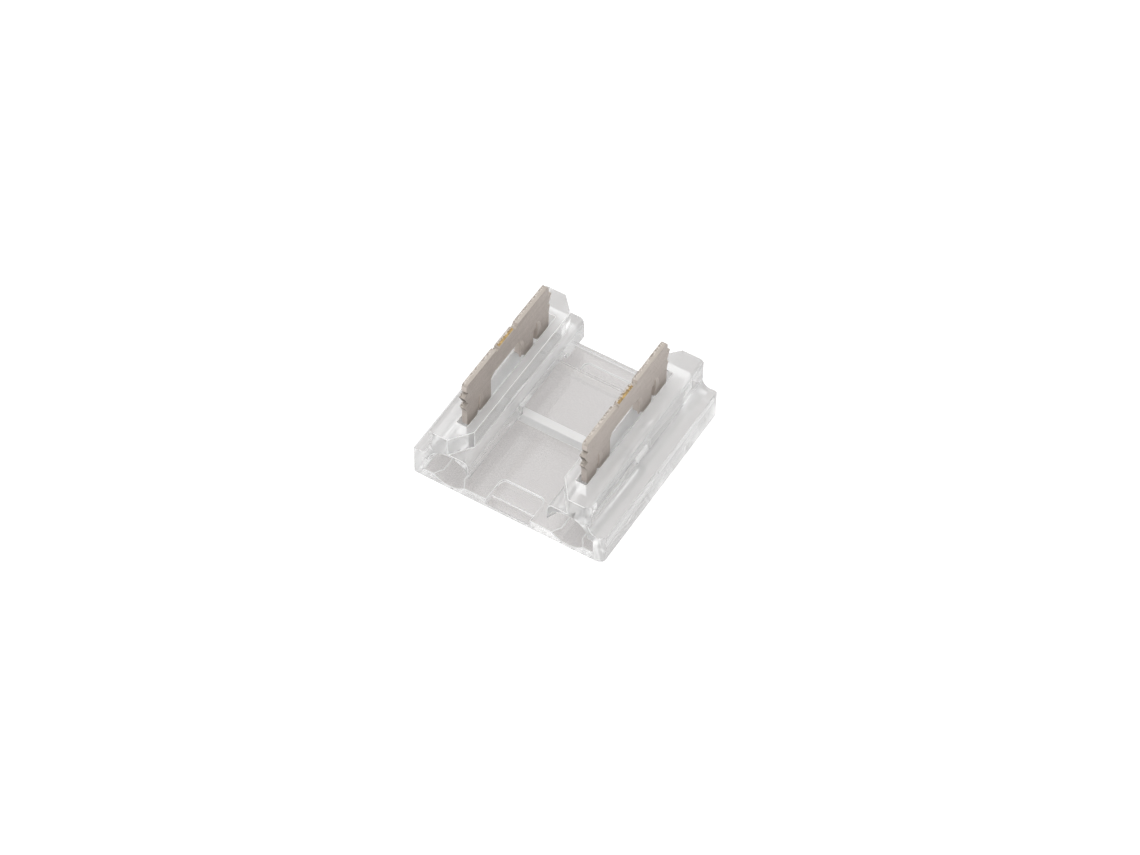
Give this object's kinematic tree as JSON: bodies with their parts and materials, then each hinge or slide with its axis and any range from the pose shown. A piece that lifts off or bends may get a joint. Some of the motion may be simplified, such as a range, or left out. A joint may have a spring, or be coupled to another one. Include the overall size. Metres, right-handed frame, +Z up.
{
  "type": "led strip connector",
  "caption": "Clear moulded press-down connector that joins a flat LED strip to wires, with stamped contact blades standing raised in its ridges.",
  "frame": {"origin": "middle of the underside", "axes": "+Z up, +Y along the strip towards the strip's mouth (the wire mouths are at -Y), +X across the strip"},
  "size_m": [0.0122, 0.0122, 0.0071],
  "materials": {
    "clear_polycarbonate": "clear, glossy, moulded",
    "nickel_plated_brass": "nickel plated, satin, brass bare at the cropped edge"
  },
  "bodies": {
    "housing": {"housing": "clear_polycarbonate"},
    "blade_left": {"contact_blade_left": "nickel_plated_brass"},
    "blade_right": {"contact_blade_right": "nickel_plated_brass"}
  },
  "joints": [
    {"name": "press_left", "type": "slide", "parent": "housing", "child": "blade_left", "axis": [0, 0, -1], "range_m": [0, 0.0026]},
    {"name": "press_right", "type": "slide", "parent": "housing", "child": "blade_right", "axis": [0, 0, -1], "range_m": [0, 0.0026]}
  ]
}
